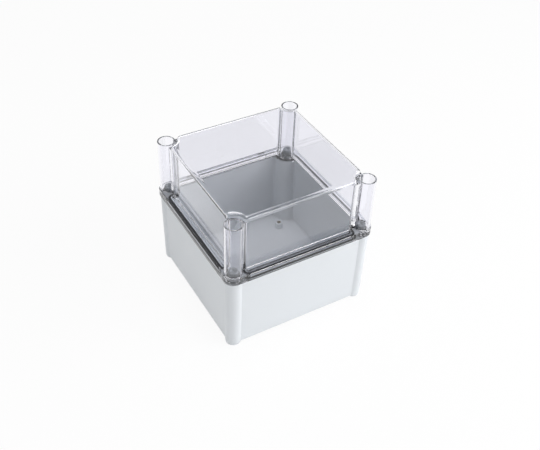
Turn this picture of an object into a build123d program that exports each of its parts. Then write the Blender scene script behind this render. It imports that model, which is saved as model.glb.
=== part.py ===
from build123d import *
import math
import os

os.makedirs("parts", exist_ok=True)

# Wall-mounting polycarbonate enclosure. Millimetres, +Z away from the wall, origin at the bottom centre.
# Overall size, measured over the cover's flange
width = 190.0
base_height = 100.0
cover_height = 80.0

# Corner posts: the round columns of the base and the tubes of the cover share their axes and radius
post_radius = 10.5
flange_overhang = 1.5

# Base moulding
base_recess = 3.5
base_wall = 3.0
floor_thickness = 3.0
foot_height = 2.0
foot_step = 0.3
foot_chamfer = 0.6
wall_foot_fillet = 1.0
draft = 0.75
notch_fillet = 1.5
floor_fillet = 2.0

# Seal: a tongue on the base's rim stands in a foamed gasket in the cover's groove
seal_clear = 2.2
seal_corner = 5.0
tongue_width = 1.8
tongue_height = 1.0
groove_width = 2.6
gasket_height = 1.8

# Cover moulding
cover_recess = 10.4
cover_wall = 2.6
flange_height = 10.0
flange_skin = 3.0
flange_fillet = 1.5
flange_foot_fillet = 0.5
inner_lip = 1.5
ledge_fillet = 1.0
top_fillet = 5.0
inner_fillet = 2.4
corner_land = 2.0
corner_wall = 2.1
hollow_corner = 3.0
land_drop = 0.5
shoulder_corner = 5.5
tube_wall = 1.8
tube_drop = 3.2
rim_fillet = 0.4

# Shallow recesses in the back of the flange
recess_width = 9.0
recess_depth = 1.6
recess_offset = 50.0

# Captive cover screws
seat_web = 5.0
washer_margin = 1.2
washer_thickness = 1.5
head_radius = 5.5
head_height = 6.0
head_fillet = 0.8
slot_width = 1.4
slot_depth = 2.6
neck_radius = 3.4
neck_clearance = 0.3
thread_radius = 4.5
thread_length = 16.0
thread_pitch = 4.0
screw_turns = 3
tip_chamfer = 1.2
running_clearance = 0.08

# Wall fixing holes at the bottom of the columns
fixing_web = 4.0
fixing_radius = 2.6

# Brass inserts for a mounting plate, each set in from its post along both sides
boss_inset = 21.0
boss_radius = 5.0
boss_height = 8.0
boss_fillet = 1.0
insert_radius = 2.8
insert_length = 6.0
insert_bore = 1.65
insert_groove = 0.4
insert_groove_width = 1.2
insert_pocket = 1.0

# Worked-out places
half = width / 2
post_inset = post_radius + flange_overhang
post_centre = half - post_inset
corners = {
    "front_left": (-post_centre, -post_centre),
    "front_right": (post_centre, -post_centre),
    "back_left": (-post_centre, post_centre),
    "back_right": (post_centre, post_centre),
}
total_height = base_height + cover_height
boss_spacing = 2 * (post_centre - boss_inset)
ledge_z = base_height + flange_height
groove_top = base_height + tongue_height + gasket_height
seat_z = base_height + seat_web
tube_top = total_height - tube_drop
bore_radius = post_radius - tube_wall
land_z = total_height - top_fillet - land_drop
base_half = half - base_recess
seal_half = base_half - base_wall / 2
seal_arc = post_radius + seal_clear
cover_half = half - cover_recess
floor_z = foot_height + floor_thickness
screw_lift = thread_pitch * screw_turns
screw_bore = thread_radius + running_clearance
head_seat = seat_z + washer_thickness
shoulder_z = base_height - screw_lift
foot_radius = post_radius - (base_height - foot_height) * math.tan(math.radians(draft)) - foot_step
rim_down = Plane(origin=(0, 0, base_height), x_dir=(1, 0, 0), z_dir=(0, 0, -1))


def post_outline(edge, arc, corner):
    """Square outline that steps inwards round each post on a concave arc, with rounded shoulders."""
    short = min(edge, post_centre)
    with BuildSketch() as outline:
        Rectangle(2 * edge, 2 * short)
        Rectangle(2 * short, 2 * edge)
        with PolarLocations(post_centre * math.sqrt(2), 4, start_angle=45):
            Circle(arc, mode=Mode.SUBTRACT)
        fillet(outline.vertices(), corner)
    return outline.sketch


def seal_outline(outward):
    """The seal's centre line, moved outwards by the given distance all the way round."""
    return post_outline(seal_half + outward, seal_arc - outward, seal_corner + outward)


def write(part, name):
    """Names a finished piece and writes it to its own file."""
    part.label = name
    export_step(part, f"parts/{name}.step")


# Base: walls and columns leave the mould with the same draft, the columns stand proud and end lower
with BuildPart() as base:
    with BuildSketch(rim_down) as shell_outline:
        Rectangle(2 * base_half, 2 * post_centre)
        Rectangle(2 * post_centre, 2 * base_half)
        with PolarLocations(post_centre * math.sqrt(2), 4, start_angle=45):
            Circle(post_radius)
        fillet(shell_outline.vertices(), notch_fillet)
    extrude(amount=base_height - foot_height, taper=draft)
    fillet(base.faces().sort_by(Axis.Z)[0].edges(), wall_foot_fillet)
    with BuildSketch():
        with Locations(*corners.values()):
            Circle(foot_radius)
    extrude(amount=foot_height + wall_foot_fillet)
    chamfer(base.faces().sort_by(Axis.Z)[0:4].edges(), foot_chamfer)

    # The cavity, drafted the same way, with a rounded floor edge
    with BuildPart(mode=Mode.PRIVATE) as cavity:
        with BuildSketch(rim_down):
            add(seal_outline(-base_wall / 2))
        extrude(amount=base_height - floor_z, taper=draft)
        fillet(cavity.faces().sort_by(Axis.Z)[0].edges(), floor_fillet)
    add(cavity, mode=Mode.SUBTRACT)

    # Sealing tongue on the rim
    with BuildSketch(Plane.XY.offset(base_height)):
        add(seal_outline(tongue_width / 2))
        add(seal_outline(-tongue_width / 2), mode=Mode.SUBTRACT)
    extrude(amount=tongue_height)

    # Bosses that carry the brass inserts
    with BuildSketch(Plane.XY.offset(floor_z)):
        with GridLocations(boss_spacing, boss_spacing, 2, 2):
            Circle(boss_radius)
    extrude(amount=boss_height)
    boss_feet = base.edges().filter_by(GeomType.CIRCLE)
    boss_feet = boss_feet.filter_by(lambda e: abs(e.radius - boss_radius) < 1e-6)
    boss_feet = boss_feet.filter_by(lambda e: abs(e.center().Z - floor_z) < 1e-6)
    fillet(boss_feet, boss_fillet)
    with BuildSketch(Plane.XY.offset(floor_z + boss_height)):
        with GridLocations(boss_spacing, boss_spacing, 2, 2):
            Circle(insert_radius)
    extrude(amount=-(insert_length + insert_pocket), mode=Mode.SUBTRACT)

    # Column bores: the cover screw holds in the top, a wall screw seats on the web at the bottom
    with BuildSketch(Plane.XY.offset(base_height)):
        with Locations(*corners.values()):
            Circle(screw_bore)
    extrude(amount=-(base_height - fixing_web), mode=Mode.SUBTRACT)
    with BuildSketch():
        with Locations(*corners.values()):
            Circle(fixing_radius)
    extrude(amount=fixing_web, mode=Mode.SUBTRACT)
write(base.part, "base")

# Cover: flange, box and four tubes in one clear moulding
with BuildPart() as cover:
    with BuildSketch(Plane.XY.offset(base_height)):
        RectangleRounded(width, width, post_inset)
    extrude(amount=flange_height)
    fillet(cover.faces().sort_by(Axis.Z)[-1].edges(), flange_fillet)
    fillet(cover.faces().sort_by(Axis.Z)[0].edges(), flange_foot_fillet)
    with BuildSketch(Plane.XY.offset(ledge_z)):
        Rectangle(2 * cover_half, 2 * cover_half)
    extrude(amount=land_z - ledge_z)
    fillet(cover.edges(Select.LAST).filter_by_position(Axis.Z, ledge_z, ledge_z), ledge_fillet)

    # Top of the box, rounded along the walls and round each tube
    with BuildSketch(Plane.XY.offset(land_z)):
        add(post_outline(cover_half, post_radius + corner_land, shoulder_corner))
    extrude(amount=total_height - land_z)
    fillet(cover.faces().sort_by(Axis.Z)[-1].edges(), top_fillet)

    # Tubes, open at the top, for a long screwdriver
    with BuildSketch(Plane.XY.offset(base_height)):
        with Locations(*corners.values()):
            Circle(post_radius)
    extrude(amount=tube_top - base_height)

    # Inside of the box
    with BuildPart(mode=Mode.PRIVATE) as hollow:
        with BuildSketch(Plane.XY.offset(base_height)):
            add(post_outline(cover_half - cover_wall, post_radius + corner_land + corner_wall, hollow_corner))
        extrude(amount=cover_height - cover_wall)
        fillet(hollow.faces().sort_by(Axis.Z)[-1].edges(), inner_fillet)
    add(hollow, mode=Mode.SUBTRACT)

    # Underside of the flange: the open middle inside the lip, then the gasket groove
    with BuildSketch(Plane.XY.offset(base_height)):
        add(seal_outline(-groove_width / 2 - inner_lip))
    extrude(amount=flange_height - flange_skin, mode=Mode.SUBTRACT)
    with BuildSketch(Plane.XY.offset(base_height)):
        add(seal_outline(groove_width / 2))
        add(seal_outline(-groove_width / 2), mode=Mode.SUBTRACT)
    extrude(amount=groove_top - base_height, mode=Mode.SUBTRACT)

    # Tube bores and screw holes
    with BuildSketch(Plane.XY.offset(seat_z)):
        with Locations(*corners.values()):
            Circle(bore_radius)
    extrude(amount=tube_top - seat_z, mode=Mode.SUBTRACT)
    with BuildSketch(Plane.XY.offset(base_height)):
        with Locations(*corners.values()):
            Circle(neck_radius + neck_clearance)
    extrude(amount=seat_web, mode=Mode.SUBTRACT)

    rims = cover.edges().filter_by(GeomType.CIRCLE).filter_by_position(Axis.Z, tube_top, tube_top)
    fillet(rims, rim_fillet)

    # Two shallow recesses in the back edge of the flange
    with BuildSketch(Plane.XY.offset(base_height)):
        with Locations((-recess_offset, half), (recess_offset, half)):
            Rectangle(recess_width, 2 * recess_depth)
    extrude(amount=flange_height, mode=Mode.SUBTRACT)
write(cover.part, "cover")

# Gasket foamed into the groove, it rests on the tongue
with BuildPart() as gasket:
    with BuildSketch(Plane.XY.offset(groove_top)):
        add(seal_outline(groove_width / 2))
        add(seal_outline(-groove_width / 2), mode=Mode.SUBTRACT)
    extrude(amount=-gasket_height)
write(gasket.part, "cover_gasket")

# Captive screw with its washer at each corner
for place, (x, y) in corners.items():
    with BuildPart() as washer:
        with BuildSketch(Plane.XY.offset(seat_z)):
            with Locations((x, y)):
                Circle(bore_radius - washer_margin)
                Circle(neck_radius + running_clearance, mode=Mode.SUBTRACT)
        extrude(amount=washer_thickness)
    write(washer.part, f"screw_washer_{place}")

    with BuildPart() as screw:
        with BuildSketch(Plane.XY.offset(head_seat)):
            with Locations((x, y)):
                Circle(head_radius)
        extrude(amount=head_height)
        fillet(screw.faces().sort_by(Axis.Z)[-1].edges(), head_fillet)
        with BuildSketch(Plane.XY.offset(head_seat + head_height)):
            with Locations((x, y)):
                Rectangle(2 * head_radius, slot_width)
                Rectangle(slot_width, head_radius)
        extrude(amount=-slot_depth, mode=Mode.SUBTRACT)
        with BuildSketch(Plane.XY.offset(head_seat)):
            with Locations((x, y)):
                Circle(neck_radius)
        extrude(amount=-(head_seat - shoulder_z))
        with BuildSketch(Plane.XY.offset(shoulder_z)):
            with Locations((x, y)):
                Circle(thread_radius)
        extrude(amount=-thread_length)
        chamfer(screw.faces().sort_by(Axis.Z)[0].edges(), tip_chamfer)
    write(screw.part, f"cover_screw_{place}")

# Brass insert pressed into each floor boss
insert_top = floor_z + boss_height
insert_places = {name: (math.copysign(boss_spacing / 2, x), math.copysign(boss_spacing / 2, y))
                 for name, (x, y) in corners.items()}
for place, (x, y) in insert_places.items():
    with BuildPart() as insert:
        with BuildSketch(Plane.XY.offset(insert_top)):
            with Locations((x, y)):
                Circle(insert_radius)
                Circle(insert_bore, mode=Mode.SUBTRACT)
        extrude(amount=-insert_length)
        with BuildSketch(Plane.XY.offset(insert_top - (insert_length - insert_groove_width) / 2)):
            with Locations((x, y)):
                Circle(insert_radius)
                Circle(insert_radius - insert_groove, mode=Mode.SUBTRACT)
        extrude(amount=-insert_groove_width, mode=Mode.SUBTRACT)
    write(insert.part, f"plate_insert_{place}")
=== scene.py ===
import math
import bmesh
import bpy
import numpy as np
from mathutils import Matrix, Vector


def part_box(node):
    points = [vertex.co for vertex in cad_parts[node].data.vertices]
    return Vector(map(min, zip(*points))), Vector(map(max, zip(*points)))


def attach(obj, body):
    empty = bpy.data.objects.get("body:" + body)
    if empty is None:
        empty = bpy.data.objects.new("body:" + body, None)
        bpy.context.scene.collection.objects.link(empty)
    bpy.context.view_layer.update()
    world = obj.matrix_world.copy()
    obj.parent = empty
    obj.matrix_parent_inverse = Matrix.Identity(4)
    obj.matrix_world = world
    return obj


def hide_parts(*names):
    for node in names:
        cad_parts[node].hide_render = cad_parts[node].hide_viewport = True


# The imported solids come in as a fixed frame, in metres. They keep their own shapes and get their finish
# below, apart from the cover screws, whose plain ends are made again with a thread.
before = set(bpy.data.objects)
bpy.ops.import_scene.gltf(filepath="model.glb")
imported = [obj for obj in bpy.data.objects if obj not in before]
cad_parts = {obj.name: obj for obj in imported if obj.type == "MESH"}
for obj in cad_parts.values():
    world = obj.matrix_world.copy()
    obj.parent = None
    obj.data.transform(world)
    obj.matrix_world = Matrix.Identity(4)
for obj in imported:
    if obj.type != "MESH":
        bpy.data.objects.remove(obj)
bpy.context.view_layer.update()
scene = bpy.context.scene
scene.view_settings.view_transform = "Standard"

# Base: one injection moulding in opaque light grey polycarbonate. Its walls and round corner columns
# carry a fine spark-eroded texture that leaves it satin, a little uneven in gloss from the melt's flow.
MM = 0.001
GREY_POLYCARBONATE = "#DADEE2"
polycarbonate_ior = 1.585
spark_grain = 0.9 * MM   # the real grain is near 0.05 mm, drawn coarser so that it shows at all
spark_depth = 0.05 * MM
flow_marks = 35 * MM


def linear(hex_colour):
    """Turns an sRGB hex colour into a linear RGBA one."""
    parts = [int(hex_colour[i:i + 2], 16) / 255 for i in (1, 3, 5)]
    return [p / 12.92 if p <= 0.04045 else ((p + 0.055) / 1.055) ** 2.4 for p in parts] + [1.0]


def add(material, kind, settings, sockets):
    """Adds a node and sets its properties and its input sockets. A socket that is given another's output
    is linked to it."""
    made = material.node_tree.nodes.new(kind)
    for name, value in settings.items():
        setattr(made, name, value)
    for name, value in sockets.items():
        if isinstance(value, bpy.types.NodeSocket):
            material.node_tree.links.new(value, made.inputs[name])
        else:
            made.inputs[name].default_value = value
    return made


def new_material(name):
    """A material with an empty node tree."""
    material = bpy.data.materials.new(name)
    material.use_nodes = True
    material.node_tree.nodes.clear()
    return material


def dress(node, material):
    """Gives every material slot of a CAD node this material."""
    for material_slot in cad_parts[node].material_slots:
        material_slot.material = material


grey = new_material("polycarbonate_grey_spark_eroded")
place = add(grey, "ShaderNodeTexCoord", {}, {})
grain = add(grey, "ShaderNodeTexNoise", {}, {
    "Vector": place.outputs["Object"], "Scale": 1 / spark_grain, "Detail": 2.0, "Roughness": 0.5})
flow = add(grey, "ShaderNodeTexNoise", {}, {
    "Vector": place.outputs["Object"], "Scale": 1 / flow_marks, "Detail": 1.0, "Roughness": 0.4})
gloss = add(grey, "ShaderNodeMapRange", {}, {
    "Value": flow.outputs["Fac"], "From Min": 0.3, "From Max": 0.7, "To Min": 0.34, "To Max": 0.42})
relief = add(grey, "ShaderNodeBump", {}, {
    "Height": grain.outputs["Fac"], "Strength": 0.08, "Distance": spark_depth})
shade = add(grey, "ShaderNodeBsdfPrincipled", {}, {
    "Base Color": linear(GREY_POLYCARBONATE), "Roughness": gloss.outputs["Result"],
    "IOR": polycarbonate_ior, "Normal": relief.outputs["Normal"]})
add(grey, "ShaderNodeOutputMaterial", {}, {"Surface": shade.outputs["BSDF"]})
dress("base", grey)

# Brass inserts: turned from bar and pressed into the four bosses of the floor, where they take the
# screws of a mounting plate. The lathe leaves them half bright, and a little uneven in gloss.
BRASS = "#A3977C"
lathe_marks = 0.4 * MM   # a tool's feed is nearer 0.1 mm, drawn coarser so that it shows at all
corners = ("front_left", "front_right", "back_left", "back_right")

brass = new_material("brass_turned")
place = add(brass, "ShaderNodeTexCoord", {}, {})
lathe = add(brass, "ShaderNodeTexNoise", {}, {
    "Vector": place.outputs["Object"], "Scale": 1 / lathe_marks, "Detail": 2.0, "Roughness": 0.5})
gloss = add(brass, "ShaderNodeMapRange", {}, {
    "Value": lathe.outputs["Fac"], "From Min": 0.3, "From Max": 0.7, "To Min": 0.22, "To Max": 0.36})
shade = add(brass, "ShaderNodeBsdfPrincipled", {}, {
    "Base Color": linear(BRASS), "Metallic": 1.0, "Roughness": gloss.outputs["Result"]})
add(brass, "ShaderNodeOutputMaterial", {}, {"Surface": shade.outputs["BSDF"]})
for corner in corners:
    dress("plate_insert_" + corner, brass)

# Gasket: black polyurethane, poured and foamed straight into the groove under the cover's flange. It
# has a smooth closed skin, dull, with the foam's cells just showing as a fine unevenness.
GASKET_BLACK = "#1A1B1F"
foam_cells, skin_depth = 0.5 * MM, 0.1 * MM

foam = new_material("polyurethane_foam_skinned")
place = add(foam, "ShaderNodeTexCoord", {}, {})
cells = add(foam, "ShaderNodeTexNoise", {}, {
    "Vector": place.outputs["Object"], "Scale": 1 / foam_cells, "Detail": 3.0, "Roughness": 0.6})
relief = add(foam, "ShaderNodeBump", {}, {
    "Height": cells.outputs["Fac"], "Strength": 0.2, "Distance": skin_depth})
shade = add(foam, "ShaderNodeBsdfPrincipled", {}, {
    "Base Color": linear(GASKET_BLACK), "Roughness": 0.7, "Normal": relief.outputs["Normal"]})
add(foam, "ShaderNodeOutputMaterial", {}, {"Surface": shade.outputs["BSDF"]})
dress("cover_gasket", foam)

# Cover: one injection moulding in clear polycarbonate from a polished mould. It keeps a very slight
# waviness from the melt's flow, and thick parts show a faint cool tint. The lamps' light goes straight
# through its walls, a little dimmed.
CLEAR_TINT, DIMMED_LIGHT = "#FBFBFF", "#F9F9FA"
melt_waves, wave_depth = 30 * MM, 0.1 * MM

clear = new_material("polycarbonate_clear_polished")
place = add(clear, "ShaderNodeTexCoord", {}, {})
waves = add(clear, "ShaderNodeTexNoise", {}, {
    "Vector": place.outputs["Object"], "Scale": 1 / melt_waves, "Detail": 1.0, "Roughness": 0.4})
relief = add(clear, "ShaderNodeBump", {}, {
    "Height": waves.outputs["Fac"], "Strength": 0.3, "Distance": wave_depth})
body = add(clear, "ShaderNodeBsdfPrincipled", {}, {
    "Base Color": linear(CLEAR_TINT), "Roughness": 0.02, "IOR": polycarbonate_ior,
    "Transmission Weight": 1.0, "Normal": relief.outputs["Normal"]})
lamp_pass = add(clear, "ShaderNodeBsdfTransparent", {}, {"Color": linear(DIMMED_LIGHT)})
path = add(clear, "ShaderNodeLightPath", {}, {})
both = add(clear, "ShaderNodeMixShader", {}, {
    0: path.outputs["Is Shadow Ray"], 1: body.outputs["BSDF"], 2: lamp_pass.outputs["BSDF"]})
add(clear, "ShaderNodeOutputMaterial", {}, {"Surface": both.outputs["Shader"]})
dress("cover", clear)

# Washers: rings punched from dark rubber sheet, on the screws' necks. Each seals its screw hole and
# holds its screw in the tube, and the cut rubber is matt, with a little dust in it.
WASHER_GREY = "#3A3B3D"
dust_marks = 0.8 * MM   # real dust is finer, drawn coarser so that it shows at all

rubber = new_material("rubber_punched")
place = add(rubber, "ShaderNodeTexCoord", {}, {})
dust = add(rubber, "ShaderNodeTexNoise", {}, {
    "Vector": place.outputs["Object"], "Scale": 1 / dust_marks, "Detail": 2.0, "Roughness": 0.5})
gloss = add(rubber, "ShaderNodeMapRange", {}, {
    "Value": dust.outputs["Fac"], "From Min": 0.3, "From Max": 0.7, "To Min": 0.6, "To Max": 0.75})
shade = add(rubber, "ShaderNodeBsdfPrincipled", {}, {
    "Base Color": linear(WASHER_GREY), "Roughness": gloss.outputs["Result"]})
add(rubber, "ShaderNodeOutputMaterial", {}, {"Surface": shade.outputs["BSDF"]})
for corner in corners:
    dress("screw_washer_" + corner, rubber)

# Cover screws: moulded in glass filled grey polyamide, matt, with a slot for a wide screwdriver. The
# head and neck are the solid's own, and the plain end under them is made again with its coarse thread.
POLYAMIDE_GREY = "#969BA1"
fibre_marks = 0.6 * MM   # the glass fibres are shorter than 0.3 mm, drawn coarser so that they show
neck_radius, core_radius, crest_radius = 3.4 * MM, 3.6 * MM, 4.5 * MM
thread_top, thread_tip, thread_pitch = 88.0 * MM, 72.0 * MM, 4.0 * MM
thread_fade, tip_cone = 1.5 * MM, 1.2 * MM
neck_cut, overlap = 0.5 * MM, 1.0 * MM
crest_share, flank_share = 0.10, 0.15   # half the crest's width and one flank's, as parts of a pitch
turn_steps, height_steps = 72, 160
weld_distance, sharp_angle = 0.001 * MM, math.radians(32)

nylon = new_material("polyamide_glass_filled")
place = add(nylon, "ShaderNodeTexCoord", {}, {})
fibres = add(nylon, "ShaderNodeTexNoise", {}, {
    "Vector": place.outputs["Object"], "Scale": 1 / fibre_marks, "Detail": 3.0, "Roughness": 0.6})
gloss = add(nylon, "ShaderNodeMapRange", {}, {
    "Value": fibres.outputs["Fac"], "From Min": 0.3, "From Max": 0.7, "To Min": 0.42, "To Max": 0.56})
shade = add(nylon, "ShaderNodeBsdfPrincipled", {}, {
    "Base Color": linear(POLYAMIDE_GREY), "Roughness": gloss.outputs["Result"]})
add(nylon, "ShaderNodeOutputMaterial", {}, {"Surface": shade.outputs["BSDF"]})


def threaded_end(name, x, y):
    """Over a grid of turn and height, the radius is the core's plus a flat-topped ridge at a phase of
    height in pitches less turn. The ridge fades at both ends, a cone cuts the tip, and both ends close."""
    turn = np.linspace(0, 2 * np.pi, turn_steps, endpoint=False)
    height = np.linspace(thread_top, thread_tip, height_steps + 1)[:, None]
    phase = (height / thread_pitch - turn / (2 * np.pi)) % 1
    ridge = np.clip((crest_share + flank_share - abs(phase - 0.5)) / flank_share, 0, 1)
    fade = np.clip(np.minimum(thread_top - height, height - thread_tip) / thread_fade, 0, 1)
    radius = core_radius + (crest_radius - core_radius) * ridge * fade
    radius = np.minimum(radius, crest_radius - tip_cone + height - thread_tip)
    hidden = np.full((1, turn_steps), neck_radius - overlap)
    radius = np.vstack([hidden, hidden + overlap, radius])
    height = np.vstack([[[thread_top + neck_cut + overlap]], [[thread_top + neck_cut]], height])
    rings = np.stack([x + radius * np.cos(turn), y + radius * np.sin(turn),
                      np.broadcast_to(height, radius.shape)], axis=-1)
    points = np.vstack([rings.reshape(-1, 3), [x, y, height[0, 0]], [x, y, thread_tip]])
    grid = np.arange(radius.size).reshape(radius.shape)
    beside = np.roll(grid, -1, axis=1)
    sides = np.stack([grid[:-1], grid[1:], beside[1:], beside[:-1]], axis=-1).reshape(-1, 4)
    top = np.stack([np.full(turn_steps, radius.size), grid[0], beside[0]], axis=-1)
    tip = np.stack([np.full(turn_steps, radius.size + 1), beside[-1], grid[-1]], axis=-1)
    made = bpy.data.meshes.new(name)
    made.from_pydata(points.tolist(), [], sides.tolist() + top.tolist() + tip.tolist())
    return made


for corner in corners:
    node = "cover_screw_" + corner
    low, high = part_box(node)
    shaped = bmesh.new()
    shaped.from_mesh(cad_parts[node].data)
    bmesh.ops.remove_doubles(shaped, verts=shaped.verts, dist=weld_distance)
    bmesh.ops.bisect_plane(shaped, geom=shaped.verts[:] + shaped.edges[:] + shaped.faces[:],
                           plane_co=(0, 0, thread_top + neck_cut), plane_no=(0, 0, 1), clear_inner=True)
    bmesh.ops.holes_fill(shaped, edges=shaped.edges, sides=0)
    shaped.from_mesh(threaded_end("thread_" + corner, (low.x + high.x) / 2, (low.y + high.y) / 2))
    shell = bpy.data.meshes.new("captive_screw_" + corner)
    shaped.to_mesh(shell)
    shaped.free()
    shell.shade_smooth()
    shell.set_sharp_from_angle(angle=sharp_angle)
    shell.materials.append(nylon)
    screw = bpy.data.objects.new("captive_screw_" + corner, shell)
    scene.collection.objects.link(screw)
    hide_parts(node)
    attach(screw, "screw_" + corner)

# Floor: a sheet of studio paper just under the feet, which runs far past the box. It shows nearly white
# to the camera and through the clear cover, and the rest is its own shade, with the box's shadow.
PAPER_WHITE = "#F4F4F4"
floor_size, floor_drop = 8.0, 0.2 * MM
floor_whiteness = 0.9

bpy.ops.mesh.primitive_plane_add(size=floor_size, location=(0, 0, -floor_drop))
floor = bpy.context.object
floor.name = "floor"


def backdrop_rays(material):
    """Gives 1 for the rays that show the background, which come from the camera, off a mirroring surface
    or through a clear one, and 0 for those that gather light on a matt one."""
    path = add(material, "ShaderNodeLightPath", {}, {})
    seen = add(material, "ShaderNodeMath", {"operation": "MAXIMUM"}, {
        0: path.outputs["Is Camera Ray"], 1: path.outputs["Is Transmission Ray"]})
    seen = add(material, "ShaderNodeMath", {"operation": "MAXIMUM"}, {
        0: seen.outputs[0], 1: path.outputs["Is Glossy Ray"]})
    return seen.outputs[0]


paper = new_material("studio_paper")
whiteness = add(paper, "ShaderNodeMath", {"operation": "MULTIPLY"}, {
    0: backdrop_rays(paper), 1: floor_whiteness})
shade = add(paper, "ShaderNodeBsdfDiffuse", {}, {"Color": linear(PAPER_WHITE)})
white = add(paper, "ShaderNodeEmission", {}, {"Color": (1, 1, 1, 1), "Strength": 1.0})
both = add(paper, "ShaderNodeMixShader", {}, {
    0: whiteness.outputs[0], 1: shade.outputs["BSDF"], 2: white.outputs["Emission"]})
add(paper, "ShaderNodeOutputMaterial", {}, {"Surface": both.outputs["Shader"]})
floor.data.materials.append(paper)

# Studio: a pale room that fills the shadows evenly, and soft lamps above and on all four sides. The
# room shows white round the object and dimmer overhead, where the clear plastic mirrors the ceiling.
ROOM_FILL, CEILING = 0.31, 0.5
ceiling_edge, ceiling_full = 0.3, 0.6   # how steeply a view rises where the room starts and ends dimming
box_middle = (0, 0, 0.09)

room = bpy.data.worlds.new("studio_room")
room.use_nodes = True
room.node_tree.nodes.clear()
sky = add(room, "ShaderNodeTexCoord", {}, {})
way = add(room, "ShaderNodeSeparateXYZ", {}, {0: sky.outputs["Generated"]})
shown = add(room, "ShaderNodeMapRange", {"interpolation_type": "SMOOTHSTEP"}, {
    "Value": way.outputs["Z"], "From Min": ceiling_edge, "From Max": ceiling_full,
    "To Min": 1 - ROOM_FILL, "To Max": CEILING - ROOM_FILL})
level = add(room, "ShaderNodeMath", {"operation": "MULTIPLY_ADD"}, {
    0: backdrop_rays(room), 1: shown.outputs["Result"], 2: ROOM_FILL})
air = add(room, "ShaderNodeBackground", {}, {"Color": (1, 1, 1, 1), "Strength": level.outputs[0]})
add(room, "ShaderNodeOutputWorld", {}, {"Surface": air.outputs["Background"]})
scene.world = room


def soft_lamp(name, place, size, power):
    """A square soft lamp at place that faces the middle of the box, unseen by the camera."""
    data = bpy.data.lights.new(name, "AREA")
    data.size = size
    data.energy = power
    made = bpy.data.objects.new(name, data)
    scene.collection.objects.link(made)
    made.location = place
    away = np.array(place) - np.array(box_middle)
    made.rotation_euler = (math.acos(away[2] / np.linalg.norm(away)), 0,
                           math.atan2(away[1], away[0]) + math.pi / 2)
    made.visible_camera = False
    return made


soft_lamp("soft_lamp_above", place=(0, 0, 2.0), size=1.2, power=16)
soft_lamp("soft_lamp_front", place=(0.9, -1.5, 0.9), size=1.0, power=11)
soft_lamp("soft_lamp_right", place=(1.5, -0.9, 0.6), size=1.0, power=15)
soft_lamp("soft_lamp_left", place=(-2.0, -0.55, 0.62), size=1.0, power=7)
back_lamp = soft_lamp("soft_lamp_back", place=(0.4, 2.0, 0.62), size=1.0, power=3.5)
back_lamp.visible_glossy = False   # no glint along the far edge of the cover

# Camera: at the photograph's viewing angle, worked out from the four tube rims and the box's straight
# edges. It stands just under a metre away, and leans a little, as the photograph does.
azimuth, elevation, roll = math.radians(-31.49), math.radians(40.81), math.radians(2.50)
focal_px, width_px = 789.06, 540
sensor_mm = 36.0
target = np.array([8.07, -4.93, 79.60]) * MM
distance, nearest_seen = 0.95036, 0.01

back = np.array([math.sin(azimuth) * math.cos(elevation), -math.cos(azimuth) * math.cos(elevation),
                 math.sin(elevation)])
right = np.cross([0, 0, 1], back)
right /= np.linalg.norm(right)
up = np.cross(back, right)
pose = np.eye(4)
pose[:3, 0] = right * math.cos(roll) + up * math.sin(roll)
pose[:3, 1] = -right * math.sin(roll) + up * math.cos(roll)
pose[:3, 2] = back
pose[:3, 3] = target + distance * back

camera_data = bpy.data.cameras.new("camera")
camera_data.sensor_fit = "HORIZONTAL"
camera_data.sensor_width = sensor_mm
camera_data.lens = sensor_mm * focal_px / width_px
camera_data.clip_start = nearest_seen
camera = bpy.data.objects.new("camera", camera_data)
scene.collection.objects.link(camera)
camera.matrix_world = [list(row) for row in pose.T]
scene.camera = camera

# Light in clear plastic: what enters an edge of the cover runs down inside its wall for dozens of
# reflections, so a ray may go on for as many.
light_passes = 64
scene.cycles.max_bounces = light_passes
scene.cycles.transmission_bounces = light_passes
scene.cycles.glossy_bounces = light_passes
scene.cycles.transparent_max_bounces = light_passes
scene.cycles.caustics_refractive = False   # the cover's own walls already let the lamps' light in
